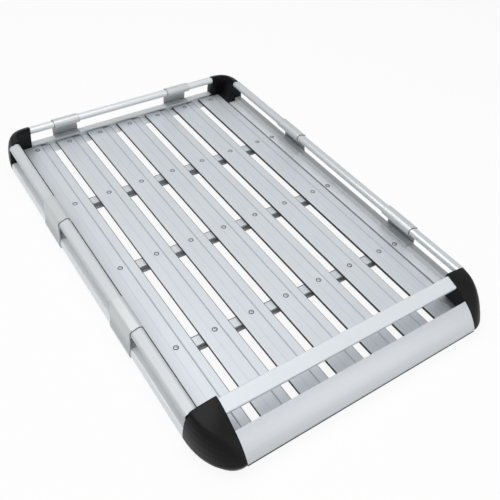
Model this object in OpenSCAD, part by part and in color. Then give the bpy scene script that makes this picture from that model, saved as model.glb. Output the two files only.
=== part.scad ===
// Roof rack for a car: an aluminium basket of seven stepped slats on three
// cross members, inside curved rails, with oval tubes above them and a broad
// curved fairing in front. Four moulded corners join the rails.
// X is the width, -Y is the front, Z is up, and z = 0 is the underside.

/* [Overall] */
// Width over the tube brackets
overall_w = 902; // [800:1:1100]
// Length from the front of the fairing to the rear brackets
overall_l = 1376; // [1150:1:1700]

/* [Deck slats] */
// Width of one slat
slat_w = 91; // [70:1:100]
// Height of one slat
slat_h = 10; // [8:0.5:14]
// Width of the raised part of a slat
slat_raised_w = 60; // [50:1:70]
// Step down from the raised part to the side strip
slat_step = 4; // [2:0.5:6]
// Distance from a slat's high edge to its rivet line
slat_rivet_in = 40; // [30:1:45]
// Wall of the slats
slat_wall = 2; // [1.5:0.1:3]
// Length of a slat past its rear rivet
slat_tail_rear = 25; // [15:1:26]
// Length of a slat past its front rivet
slat_tail_front = 8.5; // [8:0.5:12]
// Gap between the left rail and the first slat
deck_gap_left = 12; // [2:0.5:16]
// Gap between the last slat and the right rail
deck_gap_right = 1.5; // [1:0.5:10]

/* [Cross members] */
// Width of a cross member
cross_w = 32; // [24:1:40]
// Height of a cross member
cross_h = 26; // [20:1:34]
// Distance of a cross member's end inside the rail's outermost line
cross_in = 16; // [14:0.5:24]
// Wall of a cross member
cross_wall = 2.5; // [2:0.1:4]
// Width of the clamp slot along its underside
clamp_slot = 9; // [6:0.5:12]

/* [Lower rails] */
// Radius of a rail's outer face
rail_r = 40; // [36:1:50]
// Height of the rail's flat top above the deck
rail_top = 14; // [10:1:20]
// Distance from the rail's rivet line to its outermost line
rail_out = 43.5; // [42:0.5:56]
// Wall of the rails
rail_wall = 2.5; // [2:0.1:3.5]
// Gap between the floor and the rails' lower edge
rail_lift = 2; // [1:0.5:6]

/* [Upper tubes] */
// Width of the oval tube
tube_w = 34.5; // [30:0.5:44]
// Thickness of the oval tube
tube_t = 21; // [17:0.5:26]
// Wall of the oval tube
tube_wall = 2; // [1.5:0.1:3]
// Tilt of the oval, outer edge down
tube_tilt = 18; // [0:1:30]
// Height of the tube's centre above the deck
tube_rise = 70; // [60:1:90]
// Distance of the tube's centre outside the rivet line
tube_out = 20; // [8:1:22]

/* [Front bar and fairing] */
// Width of the flat front bar
bar_w = 40; // [30:1:46]
// Thickness of the flat front bar
bar_t = 15; // [12:1:18]
// Wall of the fairing
fairing_wall = 3; // [2:0.1:4]
// Height of the fairing's top edge above the deck
fairing_rise = 60; // [52:1:75]
// Distance of the fairing's top edge behind the front rivet line
fairing_back = 21.5; // [14:0.5:26]
// Radius of the fairing's face
fairing_r = 130; // [110:1:170]
// Radius of the fairing's lower edge
fairing_nose_r = 14; // [10:1:18]

/* [Brackets] */
// Length of a side bracket
clip_side_l = 113; // [60:1:140]
// Length of a rear bracket
clip_rear_l = 88; // [50:1:120]
// Thickness of a bracket
clip_t = 3; // [2:0.1:4]

/* [Corners] */
// Length of a front corner along the side
corner_front_l = 135; // [120:1:170]
// Width of a front corner along the front
corner_front_w = 87; // [80:1:110]
// Length and width of a rear corner
corner_rear = 96; // [90:1:120]
// Wall of the moulded corners
corner_wall = 4; // [3:0.1:6]

/* [Hidden] */

$fn = 48;
seat = 0.3;
slat_count = 7;
row_count = 5;

// Heights
deck_z = cross_h + slat_h;
rail_z = rail_lift - deck_z;

// Rivet lines of the rails and of the rows, from the outer sizes
clip_proud = seat + clip_t;
belly_x = overall_w / 2 - clip_proud;
rail_x = belly_x - rail_out;
row_rear = overall_l / 2 - clip_proud - rail_out;
// The fairing's face turns from one angle to the other, then the nose goes on
face_top = 62;
nose_in = 28;
nose_low = -35;
nose_u = fairing_r * (cos(nose_in) - cos(face_top)) - fairing_back;
nose_v = fairing_rise - fairing_r * (sin(face_top) - sin(nose_in));
front_out = nose_u + fairing_nose_r * (1 - cos(nose_in));
row_front = front_out - overall_l / 2;
row_pitch = (row_rear - row_front) / (row_count - 1);

// Slats across the deck
foot_in = 10;
ledge_in = 14;
deck_half = rail_x - foot_in;
slat_pitch = (2 * deck_half - deck_gap_left - deck_gap_right - slat_w) / (slat_count - 1);
slat_x0 = -deck_half + deck_gap_left + slat_rivet_in;
slat_edge = deck_half - deck_gap_right;

// Inner planes of the corners
front_face_x = belly_x - corner_front_w;
front_face_y = -overall_l / 2 + corner_front_l;
rear_face_x = belly_x - corner_rear;
rear_face_y = overall_l / 2 - clip_proud - corner_rear;

// Places of the brackets
clip_left_y = [226, -231];
clip_right_y = [237, -308];
clip_back_x = [-225, 205];

function arc(c, r, a0, a1, n) =
    [for (i = [0:n]) let (a = a0 + (a1 - a0) * i / n) [c[0] + r * cos(a), c[1] + r * sin(a)]];

// A strip of even thickness along an arc, r being its inner radius
module band(c, r, t, a0, a1, n)
    polygon(concat(arc(c, r + t, a0, a1, n), arc(c, r, a1, a0, n)));

module obround(w, t) {
    square([w - t, t], center = true);
    for (s = [-1, 1]) translate([s * (w - t) / 2, 0]) circle(d = t);
}

module rounded_bar(w, t, r) {
    square([w - 2 * r, t], center = true);
    square([w, t - 2 * r], center = true);
    for (a = [-1, 1], b = [-1, 1])
        translate([a * (w / 2 - r), b * (t / 2 - r)]) circle(r = r);
}

// A section drawn as [outward, up] becomes a bar along the side or the front.
// The places are those of the section's own zero line.
module along_side(side, x, y0, y1)
    translate([side * x, y1, deck_z]) rotate([90, 0, 0])
        linear_extrude(height = y1 - y0) scale_x(side) children();

module along_end(dir, y, x0, x1)
    translate([x0, y, deck_z]) rotate([90, 0, 90])
        linear_extrude(height = x1 - x0) scale_x(dir) children();

module scale_x(s) {
    if (s < 0) mirror([1, 0]) children();
    else children();
}

// Deck slat: raised flat with a lower strip, on thin legs
module slat_section() {
    low = slat_w - slat_rivet_in;
    high = slat_raised_w - slat_rivet_in;
    difference() {
        translate([-slat_rivet_in, -slat_h]) square([slat_w, slat_h]);
        translate([high, -slat_step]) square([slat_w, slat_h]);
        translate([-slat_rivet_in + slat_wall, -slat_h - 1])
            square([slat_rivet_in - 1.5 * slat_wall, slat_h - slat_wall + 1]);
        translate([slat_wall / 2, -slat_h - 1])
            square([high - 1.5 * slat_wall, slat_h - slat_wall + 1]);
        translate([high, -slat_h - 1])
            square([low - high - slat_wall, slat_h - slat_step - slat_wall + 1]);
    }
}

module slat(i) {
    length = row_rear - row_front + slat_tail_rear + slat_tail_front;
    color("gainsboro")
        translate([slat_x0 + (i - 1) * slat_pitch, row_rear + slat_tail_rear, deck_z])
            rotate([90, 0, 0])
                linear_extrude(height = length) slat_section();
}

// Cross member: box section with a clamp slot below
module cross_member(row) {
    half = rail_x + rail_out - cross_in;
    y = row_rear - (row - 1) * row_pitch;
    color("silver")
        translate([-half, y, cross_h / 2]) rotate([90, 0, 90])
            linear_extrude(height = 2 * half) difference() {
                square([cross_w, cross_h], center = true);
                square([cross_w - 2 * cross_wall, cross_h - 2 * cross_wall], center = true);
                translate([-clamp_slot / 2, -cross_h]) square([clamp_slot, cross_h]);
            }
}

// Outer skin of a rail, from its shoulder to its lower edge
rail_c = [rail_out - rail_r, -3];
shoulder_r = 4;
shoulder_v = rail_top - shoulder_r;
shoulder_a = asin((shoulder_v - rail_c[1]) / (rail_r - shoulder_r));
hem_a = asin((rail_z - rail_c[1]) / rail_r);
shelf_in = 16;

// Middle of the skin at a height
function skin_mid(v) = rail_c[0] + sqrt(pow(rail_r - rail_wall / 2, 2) - pow(v - rail_c[1], 2));

// The skin turns over a small shoulder into the flat top
module rail_skin() {
    c = rail_c + (rail_r - shoulder_r) * [cos(shoulder_a), sin(shoulder_a)];
    band(rail_c, rail_r - rail_wall, rail_wall, hem_a, shoulder_a, 16);
    band(c, shoulder_r - rail_wall, rail_wall, shoulder_a - 2, 90, 6);
    translate([shelf_in, rail_top - rail_wall]) square([c[0] - shelf_in, rail_wall]);
}

// Flat web from the foot to the skin, with its top at a height
module rail_ledge(inner, top)
    translate([-inner, top - rail_wall])
        square([inner + skin_mid(top - rail_wall / 2), rail_wall]);

module side_rail_section() {
    rail_skin();
    translate([shelf_in, -rail_wall]) square([rail_wall, rail_top]);
    translate([-foot_in, -rail_wall]) square([foot_in + shelf_in + rail_wall / 2, rail_wall]);
    translate([-foot_in, -slat_h]) square([rail_wall, slat_h]);
    rail_ledge(foot_in, rail_wall - slat_h);
}

// The rear rail is open towards the deck, and the slats' ends lie inside it
module rear_rail_section() {
    rail_skin();
    translate([slat_tail_rear + 2, -slat_h - rail_wall / 2])
        square([rail_wall, slat_h + rail_top - rail_wall / 2]);
    rail_ledge(ledge_in, -slat_h);
}

module side_rail(side) {
    color("gainsboro")
        along_side(side, rail_x, front_face_y, rear_face_y) side_rail_section();
}

module rear_rail() {
    color("gainsboro")
        along_end(1, row_rear, -rear_face_x, rear_face_x) rear_rail_section();
}

// Fairing: broad face, tight nose and a skirt, with a ledge under the slats
face_c = [-fairing_back - fairing_r * cos(face_top), fairing_rise - fairing_r * sin(face_top)];
nose_c = [nose_u - fairing_nose_r * cos(nose_in), nose_v - fairing_nose_r * sin(nose_in)];

nose_end = nose_c + fairing_nose_r * [cos(nose_low), sin(nose_low)];
fairing_hem = [nose_end[0] - 9, rail_z];

module fairing_section() {
    hem = fairing_hem;
    w = fairing_wall;
    ledge_v = -slat_h - w;
    skirt = nose_end + (hem - nose_end) * (nose_end[1] - ledge_v) / (nose_end[1] - rail_z);
    polygon(concat(
        arc(face_c, fairing_r - w, face_top, nose_in, 12),
        arc(nose_c, fairing_nose_r - w, nose_in, nose_low, 8),
        [hem - [w, 0], hem],
        arc(nose_c, fairing_nose_r, nose_low, nose_in, 8),
        arc(face_c, fairing_r, nose_in, face_top, 12)));
    translate([-ledge_in, ledge_v]) square([ledge_in + skirt[0] - w / 2, w]);
}

module front_fairing() {
    color("lightgray")
        along_end(-1, row_front, -front_face_x, front_face_x) fairing_section();
}

// Oval tubes above the rails
module tube_section()
    translate([tube_out, tube_rise]) rotate(-tube_tilt) difference() {
        obround(tube_w, tube_t);
        obround(tube_w - 2 * tube_wall, tube_t - 2 * tube_wall);
    }

module side_tube(side) {
    color("whitesmoke")
        along_side(side, rail_x, front_face_y, rear_face_y) tube_section();
}

module rear_tube() {
    color("whitesmoke")
        along_end(1, row_rear, -rear_face_x, rear_face_x) tube_section();
}

bar_c = [-79, 78];
module front_bar() {
    color("white")
        along_end(-1, row_front, -front_face_x, front_face_x)
            translate(bar_c) rotate(-tube_tilt) difference() {
                rounded_bar(bar_w, bar_t, 4);
                rounded_bar(bar_w - 2 * tube_wall, bar_t - 2 * tube_wall, 2);
            }
}

// Bracket: a sleeve on the tube with a web over the rail's outer face
module bracket_section() {
    web_r = rail_r + seat;
    web_top = asin((14 - rail_c[1]) / (web_r + clip_t));
    web_low = -20;
    top = rail_c + web_r * [cos(web_top), sin(web_top)];
    end_c = [tube_out, tube_rise] + (tube_w - tube_t) / 2 * [cos(tube_tilt), -sin(tube_tilt)];
    end_r = tube_t / 2 + clip_proud;
    difference() {
        union() {
            translate([tube_out, tube_rise]) rotate(-tube_tilt)
                obround(tube_w + 2 * clip_proud, tube_t + 2 * clip_proud);
            polygon([top, top + clip_t * [cos(web_top), sin(web_top)],
                end_c + end_r * [cos(4), -sin(4)],
                end_c + (end_r - clip_t / 2) * [cos(30), -sin(30)]]);
        }
        translate([tube_out, tube_rise]) rotate(-tube_tilt)
            obround(tube_w + 2 * seat, tube_t + 2 * seat);
    }
    band(rail_c, web_r, clip_t, web_low, web_top, 8);
}

module side_bracket(side, y) {
    color("lightsteelblue")
        along_side(side, rail_x, y - clip_side_l / 2, y + clip_side_l / 2) bracket_section();
}

module back_bracket(x) {
    color("lightsteelblue")
        along_end(1, row_rear, x - clip_rear_l / 2, x + clip_rear_l / 2) bracket_section();
}

// Corners: a section at the end and one at the side, as [distance out, height],
// are joined point by point round the corner. The inner wall runs square round
// the deck's corner, and the roof and the skin run on superellipses.
top_v = 93;
rear_top_v = 90;
rear_edge = 3;
wall_foot_v = -slat_h - 2;
wall_points = 5;
square_points = 3;
top_steps = 5;
face_steps = 7;
nose_steps = 6;
turn_steps = 14;
front_power = 0.98;
rear_power = 0.85;
edge_power = 0.6;

// Points of the inner wall, from its foot to the roof's inner edge, moved in
// by the wall where the inside of the moulding is meant
function inner_wall(points, w) =
    [for (i = [0:wall_points - 1]) points[i] + [w, i == 0 ? 0 : i == wall_points - 1 ? -w : w]];

function front_wall(foot, mid) = [[foot, wall_foot_v], [foot, 2], [mid, 20], [0, 26], [0, top_v]];

function rear_wall(foot, edge) =
    [[foot, wall_foot_v], [foot, 10], [(foot + edge) / 2, 45], [edge, 78], [edge, rear_top_v]];

// Front section: follows the bar and the fairing
function front_section(w) = let (s = corner_front_l - front_out, out = s - fairing_back) concat(
    inner_wall(front_wall(s + slat_tail_front + seat, 85), w),
    [for (i = [1:top_steps - 1]) let (k = i / top_steps)
        [w + (out - w) * k, top_v - w - (top_v - fairing_rise) * pow(k, 1.5)]],
    [for (p = arc(face_c, fairing_r - w, face_top, nose_in, face_steps)) [s + p[0], p[1]]],
    [for (i = [1:nose_steps]) let (p = nose_c + (fairing_nose_r - w)
        * [cos(nose_in + (nose_low - nose_in) * i / nose_steps),
           sin(nose_in + (nose_low - nose_in) * i / nose_steps)]) [s + p[0], p[1]]],
    [[s + fairing_hem[0] - w, rail_z]]);

// Side section: covers the tube, then swells to the rail's widest line. The
// roof starts at an inner edge, given from the corner's own face.
function side_section(width, edge, high_v, w) = let (s = width - rail_out, shoulder = s + tube_out - 3,
        drop = 86 - rail_c[1]) concat(
    [for (i = [1:top_steps - 1]) let (k = i / top_steps)
        [edge + w + (shoulder - edge - w) * k, high_v - w - (high_v - 86) * pow(k, 1.5)]],
    [for (i = [0:face_steps]) let (a = 90 - 90 * i / face_steps)
        [shoulder + (width - shoulder - w) * cos(a), rail_c[1] + (drop - w) * sin(a)]],
    [for (i = [1:nose_steps]) let (a = hem_a * i / (nose_steps + 1))
        [s + rail_c[0] + (rail_r - w) * cos(a), rail_c[1] + (rail_r - w) * sin(a)]],
    [[s + rail_c[0] + (rail_r - w) * cos(hem_a), rail_z]]);

function front_side_section(w) = concat(
    inner_wall(front_wall(slat_edge - front_face_x + seat, 20), w),
    side_section(corner_front_w, 0, top_v, w));

function rear_side_section(w) = let (edge = corner_rear - rail_out + rear_edge) concat(
    inner_wall(rear_wall(slat_edge - rear_face_x + seat, edge), w),
    side_section(corner_rear, edge, rear_top_v, w));

function rear_section(w) = let (s = corner_rear - rail_out, edge = s + rear_edge) concat(
    inner_wall(rear_wall(s + slat_tail_rear + seat, edge), w),
    side_section(corner_rear, edge, rear_top_v, w));

function halves(squares) = [for (q = squares, h = [0, 2]) [q[h], q[h + 1], q[(h + 2) % 4]]];

// Flat face over a section: fans from the wall's points to the roof and the skin
function fan(centre, a, b) = [for (j = [a:b - 1]) [centre, j, j + 1]];

function end_face(hem) = let (shoulder = wall_points - 1 + top_steps, belly = shoulder + face_steps) concat(
    fan(3, 4, shoulder), [[2, 3, shoulder]],
    fan(2, shoulder, belly), [[1, 2, belly]],
    fan(1, belly, hem - 1), [[0, 1, hem - 1], [0, hem - 1, hem]]);

// Hollow moulding, closed by flat faces at its ends and open below
module corner_shell(end_s, side_s, end_in, side_in, power) {
    m = len(end_s);
    n = turn_steps;
    end_l = max([for (p = end_s) p[0]]);
    side_l = max([for (p = side_s) p[0]]);
    function way(section, j, size, square, edge_turn, skin_turn) = let (d = section[j][0],
            edge = section[wall_points - 1][0], t = (d - edge) / (size - edge))
        j < square_points ? d * square
        : j < wall_points ? d * edge_turn
        : (1 - t) * edge * edge_turn + t * size * skin_turn;
    function pt(e, s, j, i, low) = let (a = 90 * i / n, k = pow(sin(a), 1.4), c = i == n ? 0 : cos(a),
            x = way(s, j, side_l - low, min(1, 2 * i / n), pow(sin(a), edge_power), pow(sin(a), power)),
            y = way(e, j, end_l - low, min(1, 2 - 2 * i / n), pow(c, edge_power), pow(c, power)))
        [max(low, x), max(low, y), e[j][1] * (1 - k) + s[j][1] * k];
    pts = concat(
        [for (i = [0:n], j = [0:m - 1]) pt(end_s, side_s, j, i, 0)],
        [for (i = [0:n], j = [0:m - 1]) pt(end_in, side_in, j, i, corner_wall)]);
    inner = (n + 1) * m;
    last = n * m;
    skin = halves([for (i = [0:n - 1], j = [0:m - 2]) let (q = i * m + j) [q, q + 1, q + m + 1, q + m]]);
    back = [for (t = skin) [t[2], t[1], t[0]] + [inner, inner, inner]];
    cap = end_face(m - 1);
    end_cap = [for (t = cap) [t[2], t[1], t[0]]];
    side_cap = [for (t = cap) t + [last, last, last]];
    end_back = [for (t = cap) t + [inner, inner, inner]];
    side_back = [for (t = end_cap) t + [inner + last, inner + last, inner + last]];
    foot_rim = [for (i = [0:n - 1]) let (q = i * m) [q, q + m, q + m + inner, q + inner]];
    hem_rim = [for (i = [0:n - 1]) let (q = i * m + m - 1) [q + m, q, q + inner, q + m + inner]];
    end_rim = [m - 1, 0, inner, inner + m - 1];
    side_rim = [last, last + m - 1, inner + last + m - 1, inner + last];
    rims = halves(concat(foot_rim, hem_rim, [end_rim, side_rim]));
    polyhedron(pts, concat(skin, back, end_cap, side_cap, end_back, side_back, rims), convexity = 8);
}

module front_corner(side) {
    color("#202124")
        translate([side * front_face_x, front_face_y, deck_z]) mirror([side < 0 ? 1 : 0, 0, 0])
            mirror([0, 1, 0])
                corner_shell(front_section(0), front_side_section(0),
                    front_section(corner_wall), front_side_section(corner_wall), front_power);
}

module rear_corner(side) {
    color("#202124")
        translate([side * rear_face_x, rear_face_y, deck_z]) mirror([side < 0 ? 1 : 0, 0, 0])
            corner_shell(rear_section(0), rear_side_section(0),
                rear_section(corner_wall), rear_side_section(corner_wall), rear_power);
}

slat(1);  // slat_1
slat(2);  // slat_2
slat(3);  // slat_3
slat(4);  // slat_4
slat(5);  // slat_5
slat(6);  // slat_6
slat(7);  // slat_7
cross_member(2);  // cross_member_rear
cross_member(3);  // cross_member_middle
cross_member(4);  // cross_member_front
side_rail(-1);  // side_rail_left
side_rail(1);  // side_rail_right
rear_rail();
front_fairing();
side_tube(-1);  // side_tube_left
side_tube(1);  // side_tube_right
rear_tube();
front_bar();
side_bracket(-1, clip_left_y[0]);  // bracket_left_rear
side_bracket(-1, clip_left_y[1]);  // bracket_left_front
side_bracket(1, clip_right_y[0]);  // bracket_right_rear
side_bracket(1, clip_right_y[1]);  // bracket_right_front
back_bracket(clip_back_x[0]);  // bracket_back_left
back_bracket(clip_back_x[1]);  // bracket_back_right
front_corner(-1);  // corner_front_left
front_corner(1);  // corner_front_right
rear_corner(-1);  // corner_rear_left
rear_corner(1);  // corner_rear_right
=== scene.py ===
"""Looks of an aluminium roof basket for a car: stepped deck slats inside a low
curved rail, an oval tube above it, a broad front fairing and moulded corners."""
import math

import bmesh
import bpy
from mathutils import Matrix, Vector


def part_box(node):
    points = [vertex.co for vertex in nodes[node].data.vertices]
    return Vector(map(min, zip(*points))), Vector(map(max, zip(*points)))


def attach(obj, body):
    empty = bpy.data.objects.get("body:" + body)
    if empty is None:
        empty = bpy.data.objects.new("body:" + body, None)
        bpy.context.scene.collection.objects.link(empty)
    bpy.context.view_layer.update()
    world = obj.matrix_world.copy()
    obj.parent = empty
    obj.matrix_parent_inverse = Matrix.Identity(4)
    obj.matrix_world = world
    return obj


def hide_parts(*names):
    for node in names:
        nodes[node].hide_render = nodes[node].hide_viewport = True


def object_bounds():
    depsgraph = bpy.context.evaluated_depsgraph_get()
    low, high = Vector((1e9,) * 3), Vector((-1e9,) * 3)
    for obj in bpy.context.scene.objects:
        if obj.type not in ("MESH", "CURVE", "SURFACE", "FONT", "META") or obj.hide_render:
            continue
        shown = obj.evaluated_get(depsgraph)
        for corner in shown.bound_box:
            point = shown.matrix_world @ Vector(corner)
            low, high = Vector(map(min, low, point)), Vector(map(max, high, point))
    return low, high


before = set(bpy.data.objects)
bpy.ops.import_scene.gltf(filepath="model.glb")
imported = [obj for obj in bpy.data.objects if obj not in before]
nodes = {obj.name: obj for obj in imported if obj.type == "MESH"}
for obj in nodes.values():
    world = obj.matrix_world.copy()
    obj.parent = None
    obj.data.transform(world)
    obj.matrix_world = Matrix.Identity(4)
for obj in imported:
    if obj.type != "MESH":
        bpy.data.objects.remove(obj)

cad_low, cad_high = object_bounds()


# Studio. The basket lies on a plain pale floor under one very wide softbox,
# like a light tent, with a weak second softbox in front and white
# surroundings.
CAMERA_PLACE = (-0.7797, -1.2088, 1.3329)
CAMERA_AZIMUTH = math.radians(-36.342)
CAMERA_ELEVATION = math.radians(44.099)
CAMERA_ROLL = math.radians(-4.111)
CAMERA_FOCAL_PIXELS = 635.044
IMAGE_WIDTH = 500
SENSOR_WIDTH = 36.0
FLOOR_SIZE = 14.0
FLOOR_DROP = 0.0005
FLOOR_COLOUR = (0.86, 0.86, 0.87, 1)
FLOOR_ROUGHNESS = 0.9
BACKGROUND_WHITE = (1, 1, 1, 1)
BACKGROUND_SHARE = 0.90
WORLD_STRENGTH = 0.18
WORLD_SEEN = 0.70
OVERHEAD_PLACE = (-0.8, 0.0, 3.8)
OVERHEAD_AIM = (0.0, 0.0, 0.0)
OVERHEAD_SIZE = 4.6
OVERHEAD_WATTS = 158
FRONT_PLACE = (1.1, -2.9, 1.3)
FRONT_AIM = (0.1, 0.0, 0.05)
FRONT_SIZE = 2.2
FRONT_WATTS = 17


def new_material(name):
    """A node material holding only a Principled shader and its output."""
    material = bpy.data.materials.new(name)
    material.use_nodes = True
    return material, material.node_tree, material.node_tree.nodes["Principled BSDF"]


def background_rays(tree):
    """1 where a ray comes from the camera, a mirror finish or glass, else 0."""
    path = tree.nodes.new("ShaderNodeLightPath")
    found = path.outputs["Is Camera Ray"]
    for kind in ("Is Transmission Ray", "Is Glossy Ray"):
        either = tree.nodes.new("ShaderNodeMath")
        either.operation = "MAXIMUM"
        tree.links.new(found, either.inputs[0])
        tree.links.new(path.outputs[kind], either.inputs[1])
        found = either.outputs[0]
    return found


floor_mesh = bpy.data.meshes.new("floor")
half = FLOOR_SIZE / 2
floor_corners = [(-half, -half, 0), (half, -half, 0), (half, half, 0), (-half, half, 0)]
floor_mesh.from_pydata(floor_corners, [], [(0, 1, 2, 3)])
floor = bpy.data.objects.new("floor", floor_mesh)
bpy.context.collection.objects.link(floor)
floor.location.z = cad_low[2] - FLOOR_DROP

floor_paint, tree, shader = new_material("floor_paint")
shader.inputs["Base Color"].default_value = FLOOR_COLOUR
shader.inputs["Roughness"].default_value = FLOOR_ROUGHNESS
glow = tree.nodes.new("ShaderNodeEmission")
glow.inputs["Color"].default_value = BACKGROUND_WHITE
share = tree.nodes.new("ShaderNodeMath")
share.operation = "MULTIPLY"
share.inputs[1].default_value = BACKGROUND_SHARE
tree.links.new(background_rays(tree), share.inputs[0])
mix = tree.nodes.new("ShaderNodeMixShader")
tree.links.new(share.outputs[0], mix.inputs["Fac"])
tree.links.new(shader.outputs[0], mix.inputs[1])
tree.links.new(glow.outputs[0], mix.inputs[2])
tree.links.new(mix.outputs[0], tree.nodes["Material Output"].inputs["Surface"])
floor_mesh.materials.append(floor_paint)

world = bpy.data.worlds.new("studio")
world.use_nodes = True
bpy.context.scene.world = world
tree = world.node_tree
sky = tree.nodes["Background"]
sky.inputs["Color"].default_value = BACKGROUND_WHITE
lift = tree.nodes.new("ShaderNodeMapRange")
lift.inputs["To Min"].default_value = WORLD_STRENGTH
lift.inputs["To Max"].default_value = WORLD_SEEN
tree.links.new(background_rays(tree), lift.inputs["Value"])
tree.links.new(lift.outputs["Result"], sky.inputs["Strength"])


def softbox(name, place, aim, size, power):
    """A square area lamp that looks from place towards aim."""
    lamp = bpy.data.lights.new(name, "AREA")
    lamp.size = size
    lamp.energy = power
    box = bpy.data.objects.new(name, lamp)
    box.location = place
    box.rotation_euler = (Vector(aim) - Vector(place)).to_track_quat("-Z", "Y").to_euler()
    bpy.context.collection.objects.link(box)


softbox("softbox_overhead", OVERHEAD_PLACE, OVERHEAD_AIM, OVERHEAD_SIZE, OVERHEAD_WATTS)
softbox("softbox_front", FRONT_PLACE, FRONT_AIM, FRONT_SIZE, FRONT_WATTS)

camera = bpy.data.objects.new("camera", bpy.data.cameras.new("camera"))
camera.data.sensor_width = SENSOR_WIDTH
camera.data.lens = CAMERA_FOCAL_PIXELS / IMAGE_WIDTH * SENSOR_WIDTH
back = Vector((math.sin(CAMERA_AZIMUTH) * math.cos(CAMERA_ELEVATION),
               -math.cos(CAMERA_AZIMUTH) * math.cos(CAMERA_ELEVATION),
               math.sin(CAMERA_ELEVATION)))
level_right = back.cross(Vector((0, 0, -1))).normalized()
level_up = back.cross(level_right)
right = math.cos(CAMERA_ROLL) * level_right - math.sin(CAMERA_ROLL) * level_up
up = math.cos(CAMERA_ROLL) * level_up + math.sin(CAMERA_ROLL) * level_right
turned_to = Matrix((right, up, back)).transposed().to_4x4()
camera.matrix_world = Matrix.Translation(CAMERA_PLACE) @ turned_to
bpy.context.collection.objects.link(camera)
bpy.context.scene.camera = camera
bpy.context.scene.view_settings.view_transform = "Standard"


# Deck slats. Seven stepped slats of extruded aluminium, anodised satin silver,
# run the length of the basket. Each stands on thin legs, with a fine groove
# along its middle and a deeper one beside the step. The grooves carry painted
# shade, and the legs, underside and the ledge's rounded outer edge are painted
# nearly black as shade.
SLAT_COLOUR = (0.645, 0.685, 0.72)
SLAT_ROUGHNESS = 0.42
SLAT_METALLIC = 0.25
# Painted shade: the groove faces are darker so the grooves read as shaded lines.
SLAT_GROOVE_PAINTED_SHADE = (0.45, 0.49, 0.525)
SLAT_GROOVE_ROUGHNESS = 0.6
# Painted shade: near black for the legs, underside and ledge edge, where the gaps between slats lie
# in shade.
SLAT_LEG_PAINTED_SHADE = (0.045, 0.048, 0.052)
SLAT_LEG_ROUGHNESS = 0.7
SHADED_METALLIC = 0.1
SLAT_WIDTH = 0.0893
SLAT_HEIGHT = 0.010
SLAT_STEP = 0.004
SLAT_STEP_AT = 0.0612
SLAT_WALL = 0.002
SLAT_EDGE_RADIUS = 0.001
LEDGE_EDGE_RADIUS = 0.0022
EDGE_STEPS = 4
STEP_EDGE_STEPS = 3
SLAT_MIDDLE_LEG = 0.040
SLAT_STEP_LEG = 0.0595
FINE_GROOVE = (0.0290, 0.0004, 0.0002)
STEP_GROOVE = (0.0590, 0.0018, 0.0014)
SATIN, GROOVED, LEG = 0, 1, 2
ALUMINIUM_METALLIC = 0.35
LENGTHWISE = (420, 1.2, 420)
LINE_DETAIL = 2.0
LINE_DEPTH = 0.00004
LINE_STRENGTH = 0.5
LINE_TONES = (0.93, 1.06)
BLOOM_SCALE = (9, 9, 9)
BLOOM_DETAIL = 4.0
BLOOM_TONES = (0.95, 1.04)
BLOOM_GLOSS = (-0.05, 0.06)
BLOOM_SHARE = 0.5
SOFT_EDGE_RADIUS = 0.0008
SOFT_EDGE_SAMPLES = 4


def link_mix(tree, kind, factor, first, second):
    """A Mix node of two values or colours; either may be a socket or a constant."""
    node = tree.nodes.new("ShaderNodeMix")
    node.data_type = kind
    sockets = [s for s in node.inputs if s.enabled]
    for socket, given in zip(sockets, (factor, first, second)):
        if isinstance(given, bpy.types.NodeSocket):
            tree.links.new(given, socket)
        else:
            socket.default_value = given
    return [s for s in node.outputs if s.enabled][0]


def stretched_noise(tree, scale, detail):
    """Noise over the object's own metres, with a scale for each axis."""
    place = tree.nodes.new("ShaderNodeTexCoord")
    stretch = tree.nodes.new("ShaderNodeMapping")
    stretch.inputs["Scale"].default_value = scale
    tree.links.new(place.outputs["Object"], stretch.inputs["Vector"])
    noise = tree.nodes.new("ShaderNodeTexNoise")
    noise.inputs["Scale"].default_value = 1.0
    noise.inputs["Detail"].default_value = detail
    tree.links.new(stretch.outputs["Vector"], noise.inputs["Vector"])
    return noise.outputs["Fac"]


def tinted(colour, factor):
    """A colour made lighter or darker, with its alpha added."""
    return tuple(min(1, c * factor) for c in colour) + (1,)


def toned(tree, colour, bands):
    """Lightens or darkens a colour across the bar. Each band is an axis, where
    it starts and ends (metres from the middle) and its tone at both."""
    place = tree.nodes.new("ShaderNodeTexCoord")
    split = tree.nodes.new("ShaderNodeSeparateXYZ")
    tree.links.new(place.outputs["Object"], split.inputs[0])
    for axis, start, end, first, last in bands:
        reach = tree.nodes.new("ShaderNodeMath")
        reach.operation = "ABSOLUTE"
        tree.links.new(split.outputs[axis], reach.inputs[0])
        tone = tree.nodes.new("ShaderNodeMapRange")
        tone.interpolation_type = "SMOOTHSTEP"
        for socket, value in zip(tone.inputs[1:5], (start, end, first, last)):
            socket.default_value = value
        tree.links.new(reach.outputs[0], tone.inputs["Value"])
        scaled = tree.nodes.new("ShaderNodeVectorMath")
        scaled.operation = "SCALE"
        tree.links.new(colour, scaled.inputs[0])
        tree.links.new(tone.outputs["Result"], scaled.inputs["Scale"])
        colour = scaled.outputs[0]
    return colour


def soft_relief(tree, shader, height, strength, depth, radius, samples):
    """A fine relief over edges that are rounded in the shading."""
    edge = tree.nodes.new("ShaderNodeBevel")
    edge.samples = samples
    edge.inputs["Radius"].default_value = radius
    bump = tree.nodes.new("ShaderNodeBump")
    bump.inputs["Strength"].default_value = strength
    bump.inputs["Distance"].default_value = depth
    tree.links.new(height, bump.inputs["Height"])
    tree.links.new(edge.outputs["Normal"], bump.inputs["Normal"])
    tree.links.new(bump.outputs["Normal"], shader.inputs["Normal"])


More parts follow.
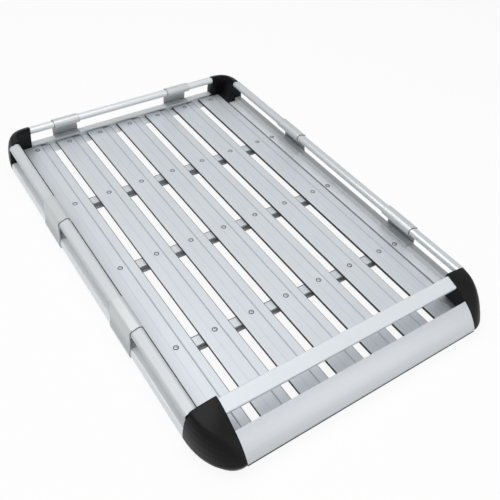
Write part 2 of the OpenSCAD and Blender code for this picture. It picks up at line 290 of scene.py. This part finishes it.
def extruded_aluminium(name, colour, roughness, lines, depth=LINE_DEPTH,
                       metallic=ALUMINIUM_METALLIC, bands=()):
    """Satin anodised aluminium: die lines along the bar, a faint uneven bloom
    and softened edges."""
    material, tree, shader = new_material(name)
    die_lines = stretched_noise(tree, lines, LINE_DETAIL)
    bloom = stretched_noise(tree, BLOOM_SCALE, BLOOM_DETAIL)
    soft_relief(tree, shader, die_lines, LINE_STRENGTH, depth, SOFT_EDGE_RADIUS, SOFT_EDGE_SAMPLES)
    lined = link_mix(tree, "RGBA", die_lines, *(tinted(colour, tone) for tone in LINE_TONES))
    clouded = link_mix(tree, "RGBA", bloom, *(tinted(colour, tone) for tone in BLOOM_TONES))
    base = toned(tree, link_mix(tree, "RGBA", BLOOM_SHARE, lined, clouded), bands)
    gloss = link_mix(tree, "FLOAT", bloom, *(roughness + change for change in BLOOM_GLOSS))
    tree.links.new(base, shader.inputs["Base Color"])
    tree.links.new(gloss, shader.inputs["Roughness"])
    shader.inputs["Metallic"].default_value = metallic
    return material


def corner_arc(centre, radius, start, end, steps, finish):
    """Section points (across, up, finish of the face that follows) round a corner."""
    angles = [math.radians(start + (end - start) * k / steps) for k in range(steps + 1)]
    return [(centre[0] + radius * math.cos(a), centre[1] + radius * math.sin(a), finish)
            for a in angles]


def notch(middle, half_width, depth, finish, after):
    """Section points of a narrow V groove in a flat top."""
    return [(middle - half_width, 0, finish),
            (middle, -depth, finish),
            (middle + half_width, 0, after)]


def slat_section(width):
    """The slat's section from its left edge, with 0 at the raised top."""
    r = SLAT_EDGE_RADIUS
    edge = LEDGE_EDGE_RADIUS
    ledge = -SLAT_STEP
    under = -SLAT_HEIGHT
    wall = SLAT_WALL
    middle = (SLAT_MIDDLE_LEG - wall / 2, SLAT_MIDDLE_LEG + wall / 2)
    step = (SLAT_STEP_LEG - wall / 2, SLAT_STEP_LEG + wall / 2)
    top = ([(0, under, LEG)]
           + corner_arc((r, -r), r, 180, 90, EDGE_STEPS, SATIN)
           + notch(*FINE_GROOVE, GROOVED, SATIN)
           + notch(*STEP_GROOVE, GROOVED, SATIN)
           + corner_arc((SLAT_STEP_AT - r / 2, -r / 2), r / 2, 90, 0, STEP_EDGE_STEPS, SATIN)
           + [(SLAT_STEP_AT, ledge + r / 2, SATIN), (SLAT_STEP_AT + r / 2, ledge, SATIN)]
           + corner_arc((width - edge, ledge - edge), edge, 90, 0, EDGE_STEPS, LEG))
    below = [(width, under), (width - wall, under), (width - wall, ledge - wall),
             (step[1], ledge - wall), (step[1], under), (step[0], under), (step[0], -wall),
             (middle[1], -wall), (middle[1], under), (middle[0], under), (middle[0], -wall),
             (wall, -wall), (wall, under)]
    return top + [(u, v, LEG) for u, v in below]


def bar_mesh(bm, section, place, ends):
    """Sweeps a section between two ends, where place(u, v, end) sets each point."""
    rings = [[bm.verts.new(place(u, v, end)) for u, v, _ in section] for end in ends]
    count = len(section)
    for k in range(count):
        n = (k + 1) % count
        face = bm.faces.new((rings[0][k], rings[0][n], rings[1][n], rings[1][k]))
        face.material_index = section[k][2]
    caps = [bm.faces.new(ring) for ring in rings]
    bmesh.ops.triangulate(bm, faces=caps)


def solid_piece(name, bm, materials):
    """Turns a bmesh into a flat-shaded piece that rides on the basket."""
    bmesh.ops.recalc_face_normals(bm, faces=bm.faces)
    mesh = bpy.data.meshes.new(name)
    bm.to_mesh(mesh)
    bm.free()
    for material in materials:
        mesh.materials.append(material)
    piece = bpy.data.objects.new(name, mesh)
    bpy.context.collection.objects.link(piece)
    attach(piece, "root")
    return piece


slat_names = [f"slat_{number}" for number in range(1, 8)]
slat_satin = extruded_aluminium("slat_aluminium_satin", SLAT_COLOUR, SLAT_ROUGHNESS, LENGTHWISE,
                                metallic=SLAT_METALLIC)
slat_groove = extruded_aluminium("slat_groove_painted_shade", SLAT_GROOVE_PAINTED_SHADE, SLAT_GROOVE_ROUGHNESS,
                                 LENGTHWISE, metallic=SHADED_METALLIC)
slat_leg = extruded_aluminium("slat_leg_painted_shade", SLAT_LEG_PAINTED_SHADE, SLAT_LEG_ROUGHNESS,
                              LENGTHWISE, metallic=SHADED_METALLIC)
for name in slat_names:
    low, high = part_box(name)
    width = high[0] - low[0] if name == "slat_7" else SLAT_WIDTH
    bm = bmesh.new()
    bar_mesh(bm, slat_section(width),
             lambda u, v, y: (low[0] + u, y, high[2] + v), (low[1], high[1]))
    slat = solid_piece(f"deck_{name}", bm, [slat_satin, slat_groove, slat_leg])
    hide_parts(name)


# Rivets. Blind rivets of aluminium pull every slat down on the cross members
# and on the rear and front ledges; three more hold the foot of each side rail.
# Each sits on a dark ring built as a washer, which is painted shade round the
# rim, and the rim of the stem hole is painted dark as shade too.
RIVET_RADIUS = 0.0056
RIVET_HEIGHT = 0.0022
DOME_END_DEGREES = 75
DOME_STEP_DEGREES = 12
STEM_HOLE_RADIUS = 0.0017
WASHER_RADIUS = 0.0076
WASHER_HEIGHT = 0.0005
WASHER_SIDE = 0.0003
WASHER_BEVEL = 0.0004
WASHER_SUNK = 0.0002
BRIGHT, DARK = 0, 1
# Share of the hole's radius, share of the rivet's height, and finish
STEM_RINGS = [(1.0, 1.0, DARK), (0.9, 0.5, BRIGHT), (0.6, 0.65, BRIGHT), (0.0, 0.7, BRIGHT)]
RIVET_FROM_SLAT_EDGE = 0.040
RIVET_SIDES = 32
RIVET_ROWS = 5
RAIL_RIVET_X = 0.4042
SMOOTH_BELOW = math.radians(40)
RIVET_DARK = (0.40, 0.42, 0.45, 1)
RIVET_LIGHT = (0.54, 0.56, 0.59, 1)
RIVET_GRAIN = (300, 300, 300)
RIVET_ROUGHNESS = (0.34, 0.46)
RIVET_METALLIC = 0.5
# Tones of the painted shade ring under each rivet head.
WASHER_DARK = (0.05, 0.052, 0.06, 1)
WASHER_LIGHT = (0.09, 0.094, 0.10, 1)
WASHER_GRAIN = (600, 600, 600)
WASHER_ROUGHNESS = 0.75
SHADE_SPECULAR = 0.2


def ring_of_points(bm, centre, radius, height, sides):
    """A level ring of vertices, or a single one where the radius is 0."""
    if radius == 0:
        return [bm.verts.new((centre[0], centre[1], centre[2] + height))]
    angles = [2 * math.pi * k / sides for k in range(sides)]
    return [bm.verts.new((centre[0] + radius * math.cos(a),
                          centre[1] + radius * math.sin(a),
                          centre[2] + height)) for a in angles]


def turned(bm, centre, profile, sides):
    """Turns a profile of (radius, height, finish) points about a vertical line."""
    rings = [ring_of_points(bm, centre, radius, height, sides) for radius, height, _ in profile]
    for (_, _, finish), low, high in zip(profile, rings, rings[1:]):
        for k in range(sides):
            n = (k + 1) % sides
            if len(high) == 1:
                face = bm.faces.new((low[k], low[n], high[0]))
            else:
                face = bm.faces.new((low[k], low[n], high[n], high[k]))
            face.material_index = finish


def rivet_profile():
    """A dark washer that is painted shade, then a low dome with the snapped stem sunk in its middle,
    its rim painted dark as shade.
    """
    washer = [(WASHER_RADIUS, -WASHER_SUNK, DARK),
              (WASHER_RADIUS, WASHER_SIDE, DARK),
              (WASHER_RADIUS - WASHER_BEVEL, WASHER_HEIGHT, DARK)]
    rise = RIVET_HEIGHT - WASHER_HEIGHT
    angles = [math.radians(d) for d in range(0, DOME_END_DEGREES, DOME_STEP_DEGREES)]
    dome = [(RIVET_RADIUS * math.cos(a), WASHER_HEIGHT + rise * math.sin(a), BRIGHT)
            for a in angles]
    stem = [(share * STEM_HOLE_RADIUS, level * RIVET_HEIGHT, finish)
            for share, level, finish in STEM_RINGS]
    return washer + dome + stem


def row_places():
    """The rivet rows, rear to front: one on each cross member and one past
    each end."""
    rear = sum(corner[1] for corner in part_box("cross_member_rear")) / 2
    front = sum(corner[1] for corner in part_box("cross_member_front")) / 2
    pitch = (rear - front) / 2
    return [rear + pitch - k * pitch for k in range(RIVET_ROWS)]


def dull_rivet_metal():
    """Mill aluminium, uneven in colour and gloss."""
    material, tree, shader = new_material("rivet_aluminium_dull")
    tone = stretched_noise(tree, RIVET_GRAIN, LINE_DETAIL)
    colour = link_mix(tree, "RGBA", tone, RIVET_DARK, RIVET_LIGHT)
    tree.links.new(colour, shader.inputs["Base Color"])
    gloss = link_mix(tree, "FLOAT", tone, *RIVET_ROUGHNESS)
    tree.links.new(gloss, shader.inputs["Roughness"])
    shader.inputs["Metallic"].default_value = RIVET_METALLIC
    return material


def painted_shade_material(name, grain, dark, light, roughness):
    """A dull dark material that wanders between two dark tones, used as painted shade."""
    material, tree, shader = new_material(name)
    tone = stretched_noise(tree, grain, LINE_DETAIL)
    colour = link_mix(tree, "RGBA", tone, dark, light)
    tree.links.new(colour, shader.inputs["Base Color"])
    shader.inputs["Roughness"].default_value = roughness
    shader.inputs["Specular IOR Level"].default_value = SHADE_SPECULAR
    return material


def smooth_piece(name, bm, materials):
    """Turns a bmesh into a piece with smooth shading between shallow angles."""
    piece = solid_piece(name, bm, materials)
    piece.data.shade_smooth()
    piece.data.set_sharp_from_angle(angle=SMOOTH_BELOW)
    return piece


rivet_metal = dull_rivet_metal()
rim_shade_washer = painted_shade_material("washer_painted_rim_shade", WASHER_GRAIN, WASHER_DARK, WASHER_LIGHT,
                            WASHER_ROUGHNESS)
rows = row_places()
for name in slat_names:
    low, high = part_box(name)
    bm = bmesh.new()
    for y in rows:
        turned(bm, (low[0] + RIVET_FROM_SLAT_EDGE, y, high[2]), rivet_profile(), RIVET_SIDES)
    smooth_piece(f"rivets_{name}", bm, [rivet_metal, rim_shade_washer])

deck_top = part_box("slat_1")[1][2]
for side, x in (("left", -RAIL_RIVET_X), ("right", RAIL_RIVET_X)):
    bm = bmesh.new()
    for y in rows[1:-1]:
        turned(bm, (x, y, deck_top), rivet_profile(), RIVET_SIDES)
    smooth_piece(f"rivets_rail_{side}", bm, [rivet_metal, rim_shade_washer])


# Cross members. Three hollow aluminium bars lie under the slats, with a
# channel along each side, open below for the clamp bolts that hold the basket
# to the car's roof bars. Their sides and front edge are painted darker as
# shade, and a nearly black painted shade line runs along the rear edge of the top.
CROSS_COLOUR = (0.63, 0.67, 0.70)
CROSS_ROUGHNESS = 0.45
# Painted shade: darker sides and channels, where the bars lie in shade under the slats.
CROSS_CHANNEL_PAINTED_SHADE = (0.52, 0.54, 0.56)
CROSS_CHANNEL_ROUGHNESS = 0.7
CROSS_CHANNEL_METALLIC = 0.05
CROSSWISE = (1.2, 420, 420)
CROSS_EDGE = 3
CROSS_EDGE_RADIUS = 0.0012
CROSS_EDGE_LINE = 0.0030
CROSS_CHANNEL = (0.0060, 0.0230)
CROSS_CHANNEL_DEPTH = 0.0055
CROSS_CHANNEL_SLOPE = 0.001
CROSS_WALL = 0.0025
CROSS_SLOT = 0.009


def cross_section(width, height):
    """The bar's section about its middle: a channel at each side, a slot below
    and a shaded line along the rear edge of its top."""
    half = width / 2
    low, high = CROSS_CHANNEL
    deep = half - CROSS_CHANNEL_DEPTH
    inner = deep - CROSS_WALL
    slot = CROSS_SLOT / 2
    r = CROSS_EDGE_RADIUS
    side = [(half, high), (deep, high - CROSS_CHANNEL_SLOPE), (deep, low), (half, low), (half, 0),
            (slot, 0), (slot, CROSS_WALL), (inner, CROSS_WALL), (inner, height - CROSS_WALL)]
    rear_edge = corner_arc((half - r, height - r), r, 90, 0, EDGE_STEPS, CROSS_EDGE)
    rear_side = [(u, v, LEG) for u, v in side]
    front_side = [(-u, v, LEG) for u, v in reversed(side)]
    front_edge = [(-u, v, GROOVED) for u, v, _ in reversed(rear_edge)]
    front_edge[-1] = front_edge[-1][:2] + (SATIN,)
    rear_line = [(half - CROSS_EDGE_LINE, height, CROSS_EDGE)]
    return rear_line + rear_edge + rear_side + front_side + front_edge


cross_satin = extruded_aluminium("cross_aluminium_satin", CROSS_COLOUR, CROSS_ROUGHNESS, CROSSWISE)
cross_shade = extruded_aluminium("cross_channel_painted_shade", CROSS_CHANNEL_PAINTED_SHADE, CROSS_CHANNEL_ROUGHNESS,
                                 CROSSWISE, metallic=CROSS_CHANNEL_METALLIC)
cross_finishes = [cross_satin, cross_shade, cross_shade, slat_leg]
for name in ("cross_member_rear", "cross_member_middle", "cross_member_front"):
    low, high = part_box(name)
    middle = (low[1] + high[1]) / 2
    bm = bmesh.new()
    bar_mesh(bm, cross_section(high[1] - low[1], high[2] - low[2]),
             lambda u, v, x: (x, middle + u, low[2] + v), (low[0], high[0]))
    bar = solid_piece(f"bar_{name}", bm, cross_finishes)
    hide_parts(name)


# Lower rails. Extruded aluminium with a flat top and a full curved outer
# skin, anodised satin silver, one along each side and one across the rear.
# Each is painted darker along its lowest few millimetres as shade; the right
# rail is a darker copy of the same aluminium, darker again towards its outer
# side, as painted shade.
RAIL_COLOUR = (0.84, 0.87, 0.89)
# Painted shade: the right rail is a darker copy of the same aluminium, darker again outwards under
# its tube.
RIGHT_RAIL_SHADED_COLOUR = (0.78, 0.81, 0.83)
RAIL_ROUGHNESS = 0.36
RAIL_METALLIC = 0.25
# Painted shade along the lower edge of each rail.
RAIL_LOWER_EDGE_SHADE = ("Z", 0.0040, 0.0060, 0.25, 1.0)
RIGHT_RAIL_SHADE = ("X", 0.416, 0.426, 1.0, 0.60)


def finish_node(name, material):
    """Gives a CAD node one material in every slot."""
    mesh = nodes[name].data
    if not mesh.materials:
        mesh.materials.append(material)
    for slot in range(len(mesh.materials)):
        mesh.materials[slot] = material


for name, finish, colour, lines, bands in (
        ("side_rail_left", "left_rail_aluminium", RAIL_COLOUR, LENGTHWISE, [RAIL_LOWER_EDGE_SHADE]),
        ("side_rail_right", "right_rail_aluminium", RIGHT_RAIL_SHADED_COLOUR, LENGTHWISE,
         [RIGHT_RAIL_SHADE, RAIL_LOWER_EDGE_SHADE]),
        ("rear_rail", "rear_rail_aluminium", RAIL_COLOUR, CROSSWISE, [RAIL_LOWER_EDGE_SHADE])):
    finish_node(name, extruded_aluminium(finish, colour, RAIL_ROUGHNESS, lines,
                                         metallic=RAIL_METALLIC, bands=bands))


# Oval tubes. Extruded aluminium tubes of oval section, anodised satin silver,
# run above the rails. Their ends are held inside the moulded corners. The three
# are copies of one aluminium painted at different levels of light, the rear
# lightest and the left darkest, and the left tube is painted darker towards
# its lower side as shade.
LEFT_TUBE_SHADED_COLOUR = (0.62, 0.65, 0.67)
LEFT_TUBE_ROUGHNESS = 0.50
LEFT_TUBE_METALLIC = 0.15
LEFT_TUBE_SHADE = ("Z", 0.0965, 0.1005, 0.55, 1.0)
RIGHT_TUBE_COLOUR = (0.66, 0.69, 0.71)
RIGHT_TUBE_ROUGHNESS = 0.28
REAR_TUBE_LIT_COLOUR = (0.76, 0.79, 0.81)
REAR_TUBE_ROUGHNESS = 0.34
REAR_TUBE_METALLIC = 0.2
TUBE_LINE_DEPTH = 0.00001
finish_node("side_tube_left",
            extruded_aluminium("left_tube_aluminium", LEFT_TUBE_SHADED_COLOUR, LEFT_TUBE_ROUGHNESS,
                               LENGTHWISE, TUBE_LINE_DEPTH, LEFT_TUBE_METALLIC, [LEFT_TUBE_SHADE]))
finish_node("side_tube_right",
            extruded_aluminium("right_tube_aluminium", RIGHT_TUBE_COLOUR, RIGHT_TUBE_ROUGHNESS,
                               LENGTHWISE, TUBE_LINE_DEPTH))
finish_node("rear_tube",
            extruded_aluminium("rear_tube_aluminium", REAR_TUBE_LIT_COLOUR, REAR_TUBE_ROUGHNESS,
                               CROSSWISE, TUBE_LINE_DEPTH, REAR_TUBE_METALLIC))


# Front fairing and bar. The fairing is a broad curved extrusion that turns
# the wind over the load, with a thin dark bead under its nose that is painted
# shade along the nose's underside; the flat bar behind it stiffens the front
# and has a painted shade line along its rear edge.
FAIRING_COLOUR = (0.595, 0.625, 0.65)
FAIRING_ROUGHNESS = 0.38
FAIRING_LINES = (1.0, 420, 420)
FAIRING_LINE_DEPTH = 0.00002
BAR_COLOUR = (0.70, 0.745, 0.775)
BAR_ROUGHNESS = 0.55
BAR_METALLIC = 0.15
BAR_REAR_SHADE = ("Y", 0.5565, 0.5585, 0.40, 1.0)
BEAD_PLACE = (-0.6876, 0.0305)
BEAD_RADIUS = 0.0017
BEAD_SIDES = 24
BEAD_END_GAP = 0.0005
# Tones of the thin dark bead that stands in as painted shade under the fairing's nose.
BEAD_DARK = (0.06, 0.062, 0.066, 1)
BEAD_LIGHT = (0.11, 0.113, 0.118, 1)
BEAD_GRAIN = (40, 500, 500)
BEAD_ROUGHNESS = 0.7

finish_node("front_fairing",
            extruded_aluminium("fairing_aluminium_satin", FAIRING_COLOUR, FAIRING_ROUGHNESS,
                               FAIRING_LINES, FAIRING_LINE_DEPTH))
finish_node("front_bar",
            extruded_aluminium("bar_aluminium_satin", BAR_COLOUR, BAR_ROUGHNESS,
                               FAIRING_LINES, FAIRING_LINE_DEPTH, BAR_METALLIC, [BAR_REAR_SHADE]))
bead_shade = painted_shade_material("bead_painted_shade", BEAD_GRAIN, BEAD_DARK, BEAD_LIGHT, BEAD_ROUGHNESS)
low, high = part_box("front_fairing")
bead_turn = 360 - 360 / BEAD_SIDES
bm = bmesh.new()
bar_mesh(bm, corner_arc((0, 0), BEAD_RADIUS, 0, bead_turn, BEAD_SIDES - 1, SATIN),
         lambda u, v, x: (x, BEAD_PLACE[0] + u, BEAD_PLACE[1] + v),
         (low[0] + BEAD_END_GAP, high[0] - BEAD_END_GAP))
smooth_piece("bead_front_fairing", bm, [bead_shade])


# Brackets. Each is an aluminium sleeve round the tube with a web that runs
# down the rail's outer face, painted darker towards its bottom as shade. A thin
# dark ring stands out at both ends of the sleeve as painted shade where sleeve
# and tube meet, and a foot plate is screwed to the rail's shelf inside the web.
BRACKET_COLOUR = (0.61, 0.64, 0.65)
BRACKET_ROUGHNESS = 0.36
BRACKET_GRAIN = (160, 160, 160)
BRACKET_GRAIN_DEPTH = 0.00002
BRACKET_WEB_SHADE = ("Z", 0.052, 0.092, 0.80, 1.0)
# Tones of the thin dark ring that is painted shade at the sleeve's ends.
LINER_DARK = (0.05, 0.052, 0.056, 1)
LINER_LIGHT = (0.09, 0.093, 0.098, 1)
LINER_GRAIN = (500, 500, 500)
LINER_ROUGHNESS = 0.7
LINER_CLEAR = 0.0001
LINER_WIDE = 0.0014
LINER_OUT = 0.0008
LINER_IN = 0.004
TUBE_SIZE = (0.0345, 0.021)
TUBE_TILT = math.radians(18)
TUBE_ARC_STEPS = 12
FOOT_THICK = 0.0016
FOOT_SPAN = (-0.0055, 0.0165)
FOOT_LIP = 0.006
FOOT_BEND_STEPS = 5
SCREW_RADIUS = 0.0036
# Share of the screw's radius, height above the foot plate, and finish
SCREW_RINGS = [(1.0, -0.0001, BRIGHT), (1.0, 0.0008, BRIGHT), (0.85, 0.0016, BRIGHT),
               (0.45, 0.0019, DARK), (0.3, 0.0011, DARK), (0.0, 0.0010, DARK)]
SCREW_SIDES = 20
SCREW_OUT = 0.006
SCREW_SHARES = (0.22, 0.78)


def oval(extra):
    """Points (out, up) round the tube's tilted oval, grown by extra."""
    across = TUBE_SIZE[0] + 2 * extra
    r = TUBE_SIZE[1] / 2 + extra
    arm = across / 2 - r
    cos, sin = math.cos(TUBE_TILT), math.sin(TUBE_TILT)
    points = []
    for side, start in ((1, -90), (-1, 90)):
        for u, v, _ in corner_arc((side * arm, 0), r, start, start + 180, TUBE_ARC_STEPS, SATIN):
            points.append((u * cos + v * sin, v * cos - u * sin))
    return points


def liner_mesh(bm, place, start, end):
    """An oval ring round the tube, from start to end along it."""
    inner = oval(LINER_CLEAR)
    outer = oval(LINER_WIDE)
    loops = [[bm.verts.new(place(u, v, at)) for u, v in ring]
             for ring, at in ((outer, start), (outer, end), (inner, end), (inner, start))]
    count = len(inner)
    for first, second in zip(loops, loops[1:] + loops[:1]):
        for k in range(count):
            n = (k + 1) % count
            bm.faces.new((first[k], first[n], second[n], second[k]))


def foot_section():
    """The foot plate over the shelf, seen along the rail, with its turned-down lip."""
    inner, outer = FOOT_SPAN
    t = FOOT_THICK
    bend = corner_arc((inner, 0), t, 90, 180, FOOT_BEND_STEPS, SATIN)
    lip = [(inner - t, -FOOT_LIP, SATIN), (inner, -FOOT_LIP, SATIN), (inner, 0, SATIN)]
    return [(outer, 0, SATIN), (outer, t, SATIN)] + bend + lip


def screw_profile():
    """A pan head with its recess sunk as a small dimple, painted dark as shade."""
    return [(share * SCREW_RADIUS, height, finish) for share, height, finish in SCREW_RINGS]


def middle_of(name, out_axis):
    """Where a tube's middle lies, outwards and up."""
    low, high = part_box(name)
    return (low[out_axis] + high[out_axis]) / 2, (low[2] + high[2]) / 2


def bracket_frame(name):
    """The bracket's two ends along its tube, and a function that places a
    point (out, up, along) measured from the tube's middle."""
    low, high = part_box(name)
    if "back" in name:
        out, up = middle_of("rear_tube", 1)
        return (low[0], high[0]), lambda u, v, at: (at, out + u, up + v)
    out, up = middle_of("side_tube_right", 0)
    side = -1 if "left" in name else 1
    return (low[1], high[1]), lambda u, v, at: (side * (out + u), at, up + v)


bracket_metal = extruded_aluminium("bracket_aluminium", BRACKET_COLOUR, BRACKET_ROUGHNESS,
                                   BRACKET_GRAIN, BRACKET_GRAIN_DEPTH, bands=[BRACKET_WEB_SHADE])
liner_shade = painted_shade_material("liner_painted_shade", LINER_GRAIN, LINER_DARK, LINER_LIGHT,
                           LINER_ROUGHNESS)
shelf_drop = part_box("side_rail_right")[1][2] - middle_of("side_tube_right", 0)[1]
for name in ("bracket_left_rear", "bracket_left_front", "bracket_right_rear",
             "bracket_right_front", "bracket_back_left", "bracket_back_right"):
    finish_node(name, bracket_metal)
    (start, end), spot = bracket_frame(name)

    bm = bmesh.new()
    liner_mesh(bm, spot, start - LINER_OUT, start + LINER_IN)
    liner_mesh(bm, spot, end - LINER_IN, end + LINER_OUT)
    smooth_piece(f"liner_{name}", bm, [liner_shade])

    bm = bmesh.new()
    bar_mesh(bm, foot_section(), lambda u, v, at: spot(u, v + shelf_drop, at), (start, end))
    solid_piece(f"foot_{name}", bm, [bracket_metal])

    bm = bmesh.new()
    for share in SCREW_SHARES:
        seat = spot(SCREW_OUT, shelf_drop + FOOT_THICK, start + share * (end - start))
        turned(bm, seat, screw_profile(), SCREW_SIDES)
    smooth_piece(f"screws_{name}", bm, [rivet_metal, rim_shade_washer])


# Moulded corners. Four black nylon mouldings with a fine spark texture cap
# the ends of the tubes and rails and tie them together.
CORNER_BLACK = (0.0045, 0.0046, 0.0052)
CORNER_TONES = (0.8, 1.5)
CORNER_ROUGHNESS = (0.34, 0.48)
CORNER_SPECULAR = 0.15
CORNER_EDGE_RADIUS = 0.005
CORNER_EDGE_SAMPLES = 8
SPARK_GRAIN = (900, 900, 900)
SPARK_DETAIL = 3.0
SPARK_STRENGTH = 0.35
SPARK_DEPTH = 0.0001
HANDLED_SCALE = (14, 14, 14)

corner_plastic, tree, shader = new_material("corner_plastic_black")
spark = stretched_noise(tree, SPARK_GRAIN, SPARK_DETAIL)
handled = stretched_noise(tree, HANDLED_SCALE, BLOOM_DETAIL)
soft_relief(tree, shader, spark, SPARK_STRENGTH, SPARK_DEPTH, CORNER_EDGE_RADIUS,
            CORNER_EDGE_SAMPLES)
tones = [tinted(CORNER_BLACK, tone) for tone in CORNER_TONES]
black = link_mix(tree, "RGBA", handled, *tones)
tree.links.new(black, shader.inputs["Base Color"])
gloss = link_mix(tree, "FLOAT", handled, *CORNER_ROUGHNESS)
tree.links.new(gloss, shader.inputs["Roughness"])
shader.inputs["Specular IOR Level"].default_value = CORNER_SPECULAR
for name in ("corner_front_left", "corner_front_right", "corner_rear_left", "corner_rear_right"):
    finish_node(name, corner_plastic)
